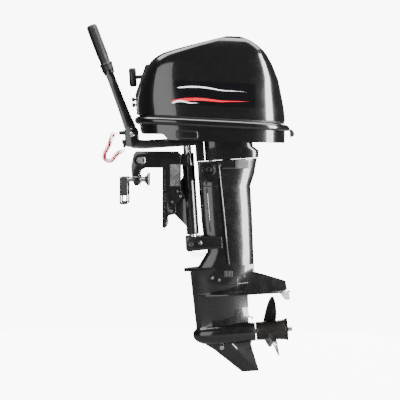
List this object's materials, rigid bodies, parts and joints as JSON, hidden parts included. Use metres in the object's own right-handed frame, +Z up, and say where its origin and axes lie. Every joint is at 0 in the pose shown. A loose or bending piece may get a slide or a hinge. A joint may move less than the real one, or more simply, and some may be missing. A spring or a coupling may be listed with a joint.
{
  "type": "outboard motor",
  "caption": "Short-shaft outboard motor on its transom clamp, with raised tiller, recoil starter, tilting and steering leg, gearcase and propeller.",
  "frame": {"origin": "on the clamp's transom face, midway between the two brackets, level with the top of the transom", "axes": "+X aft, +Y starboard, +Z up with the clamp upright"},
  "size_m": [0.6365, 0.317, 1.0726],
  "materials": {
    "dark_paint": "cast, under gloss paint",
    "grey_paint": "cast, under satin paint",
    "cowl_gloss": "metallic gloss",
    "aluminium": "as cast",
    "steel": "satin",
    "iron": "machined",
    "rubber": "matt",
    "plastic": "fine grain",
    "grey_plastic": "fine grain",
    "ceramic": "glazed",
    "zinc": "dull",
    "red_cord": "gloss"
  },
  "bodies": {
    "clamp": {"port_clamp_bracket": "dark_paint", "starboard_clamp_bracket": "dark_paint", "transom_tie_plate": "aluminium", "tilt_bolt": "steel"},
    "thrust_rod": {"thrust_rod": "steel"},
    "port_pad": {"port_clamp_pad": "aluminium"},
    "port_screw": {"port_clamp_screw": "steel"},
    "port_handle": {"port_clamp_handle": "grey_plastic"},
    "starboard_pad": {"starboard_clamp_pad": "aluminium"},
    "starboard_screw": {"starboard_clamp_screw": "steel"},
    "starboard_handle": {"starboard_clamp_handle": "grey_plastic"},
    "swivel": {"swivel_bracket": "grey_paint"},
    "tilt_lock": {"tilt_lock_lever": "steel"},
    "motor": {"steering_shaft": "steel", "steering_bracket": "dark_paint", "lower_mount_yoke": "grey_paint", "port_upper_mount": "rubber", "starboard_upper_mount": "rubber", "drive_shaft_housing": "dark_paint", "gearcase": "dark_paint", "trim_tab": "zinc", "water_pump_housing": "plastic", "bearing_carrier": "aluminium", "lower_cowl": "cowl_gloss", "cowl_seal": "rubber", "engine_base": "dark_paint", "front_panel": "plastic", "engine_block": "aluminium", "cylinder_head": "aluminium", "upper_spark_plug": "ceramic", "lower_spark_plug": "ceramic", "carburettor": "aluminium", "ignition_coil": "plastic", "starter_housing": "grey_paint", "stop_switch": "plastic", "lanyard_clip": "plastic", "lanyard_cord": "red_cord", "lanyard_hook": "plastic"},
    "top_cowl": {"top_cowl": "cowl_gloss"},
    "cowl_latch": {"cowl_latch": "plastic"},
    "crank": {"flywheel": "iron", "crankshaft": "steel", "drive_shaft": "steel", "pump_impeller": "rubber", "pinion_gear": "iron"},
    "forward_gear": {"forward_gear": "iron"},
    "reverse_gear": {"reverse_gear": "iron"},
    "propeller": {"propeller_shaft": "steel", "propeller": "grey_paint", "propeller_nut": "steel"},
    "clutch_dog": {"clutch_dog": "iron"},
    "shift_lever": {"shift_lever": "plastic"},
    "shift_rod": {"shift_rod": "steel"},
    "starter_handle": {"starter_handle": "plastic"},
    "starter_pulley": {"starter_pulley": "plastic"},
    "choke_knob": {"choke_knob": "plastic"},
    "idle_knob": {"idle_knob": "plastic"},
    "stop_button": {"stop_button": "red_cord"},
    "tiller": {"tiller_arm": "dark_paint"},
    "throttle_grip": {"throttle_grip": "rubber"}
  },
  "joints": [
    {"name": "tilt", "type": "hinge", "parent": "clamp", "child": "swivel", "pos_m": [-0.068, 0, 0.023], "axis": [0, -1, 0], "range_deg": [0, 70]},
    {"name": "thrust_rod_slide", "type": "slide", "parent": "clamp", "child": "thrust_rod", "axis": [0, 1, 0], "range_m": [0, 0.12]},
    {"name": "port_pad_slide", "type": "slide", "parent": "clamp", "child": "port_pad", "axis": [1, 0, 0], "range_m": [-0.01, 0.012]},
    {"name": "port_screw_turn", "type": "hinge", "parent": "port_pad", "child": "port_screw", "pos_m": [-0.042, -0.056, -0.036], "axis": [1, 0, 0], "range_deg": [-1803, 2163]},
    {"name": "port_handle_fold", "type": "hinge", "parent": "port_screw", "child": "port_handle", "pos_m": [-0.118, -0.056, -0.036], "axis": [0, 1, 0], "range_deg": [0, 80]},
    {"name": "starboard_pad_slide", "type": "slide", "parent": "clamp", "child": "starboard_pad", "axis": [1, 0, 0], "range_m": [-0.01, 0.012]},
    {"name": "starboard_screw_turn", "type": "hinge", "parent": "starboard_pad", "child": "starboard_screw", "pos_m": [-0.042, 0.056, -0.036], "axis": [1, 0, 0], "range_deg": [-1803, 2163]},
    {"name": "starboard_handle_fold", "type": "hinge", "parent": "starboard_screw", "child": "starboard_handle", "pos_m": [-0.118, 0.056, -0.036], "axis": [0, 1, 0], "range_deg": [0, 80]},
    {"name": "tilt_lock", "type": "hinge", "parent": "swivel", "child": "tilt_lock", "pos_m": [0.05249, 0, -0.07713], "axis": [0, -1, 0], "range_deg": [0, 9]},
    {"name": "steer", "type": "hinge", "parent": "swivel", "child": "motor", "pos_m": [0.07668, 0, 0.03261], "axis": [-0.0663, 0, 0.9978], "range_deg": [-40, 40]},
    {"name": "tiller_fold", "type": "hinge", "parent": "motor", "child": "tiller", "pos_m": [-0.09472, 0, 0.10842], "axis": [0, 1, 0], "range_deg": [-75, 2]},
    {"name": "throttle", "type": "hinge", "parent": "tiller", "child": "throttle_grip", "pos_m": [-0.16785, 0, 0.29993], "axis": [-0.3567, 0, 0.9342], "range_deg": [0, 95]},
    {"name": "top_cowl_lift", "type": "slide", "parent": "motor", "child": "top_cowl", "axis": [-0.0663, 0, 0.9978], "range_m": [0, 0.2]},
    {"name": "cowl_latch", "type": "hinge", "parent": "motor", "child": "cowl_latch", "pos_m": [0.39556, 0, 0.09789], "axis": [0, 1, 0], "range_deg": [0, 50]},
    {"name": "crank", "type": "hinge", "parent": "motor", "child": "crank", "pos_m": [0.14553, 0, 0.03718], "axis": [-0.0663, 0, 0.9978], "continuous": true},
    {"name": "forward_gear_spin", "type": "hinge", "parent": "motor", "child": "forward_gear", "pos_m": [0.18205, 0, -0.51261], "axis": [0.9978, 0, 0.0663], "continuous": true},
    {"name": "reverse_gear_spin", "type": "hinge", "parent": "motor", "child": "reverse_gear", "pos_m": [0.18205, 0, -0.51261], "axis": [0.9978, 0, 0.0663], "continuous": true},
    {"name": "propeller_spin", "type": "hinge", "parent": "motor", "child": "propeller", "pos_m": [0.18205, 0, -0.51261], "axis": [0.9978, 0, 0.0663], "continuous": true},
    {"name": "shift", "type": "hinge", "parent": "motor", "child": "shift_lever", "pos_m": [0.07597, 0, 0.11875], "axis": [0, 1, 0], "range_deg": [-30, 30]},
    {"name": "clutch_slide", "type": "slide", "parent": "propeller", "child": "clutch_dog", "axis": [0.9978, 0, 0.0663], "range_m": [-0.0051, 0.0051]},
    {"name": "shift_rod_slide", "type": "slide", "parent": "motor", "child": "shift_rod", "axis": [-0.0663, 0, 0.9978], "range_m": [-0.0091, 0.0091]},
    {"name": "starter_pull", "type": "slide", "parent": "motor", "child": "starter_handle", "axis": [-0.9978, 0, -0.0663], "range_m": [0, 0.11], "stiffness_N_per_m": 60, "springref_m": -0.02},
    {"name": "starter_pulley_turn", "type": "hinge", "parent": "motor", "child": "starter_pulley", "pos_m": [0.13228, 0, 0.23674], "axis": [-0.0663, 0, 0.9978], "range_deg": [-1, 168]},
    {"name": "choke", "type": "slide", "parent": "motor", "child": "choke_knob", "axis": [-0.9978, 0, -0.0663], "range_m": [0, 0.013]},
    {"name": "idle_turn", "type": "hinge", "parent": "motor", "child": "idle_knob", "pos_m": [-0.0792, -0.022, 0.19163], "axis": [0.9978, 0, 0.0663], "range_deg": [-135, 135]},
    {"name": "stop_press", "type": "slide", "parent": "motor", "child": "stop_button", "axis": [0.9978, 0, 0.0663], "range_m": [0, 0.004], "stiffness_N_per_m": 400}
  ],
  "couplings": [
    {"joint": "port_screw_turn", "follows": "port_pad_slide", "rad_per_m": 3141.6},
    {"joint": "starboard_screw_turn", "follows": "starboard_pad_slide", "rad_per_m": 3141.6},
    {"joint": "forward_gear_spin", "follows": "crank", "ratio": 0.48148},
    {"joint": "reverse_gear_spin", "follows": "crank", "ratio": -0.48148},
    {"joint": "clutch_slide", "follows": "shift", "m_per_rad": 0.009549},
    {"joint": "shift_rod_slide", "follows": "shift", "m_per_rad": 0.017189},
    {"joint": "starter_pulley_turn", "follows": "starter_pull", "rad_per_m": 26.316}
  ]
}
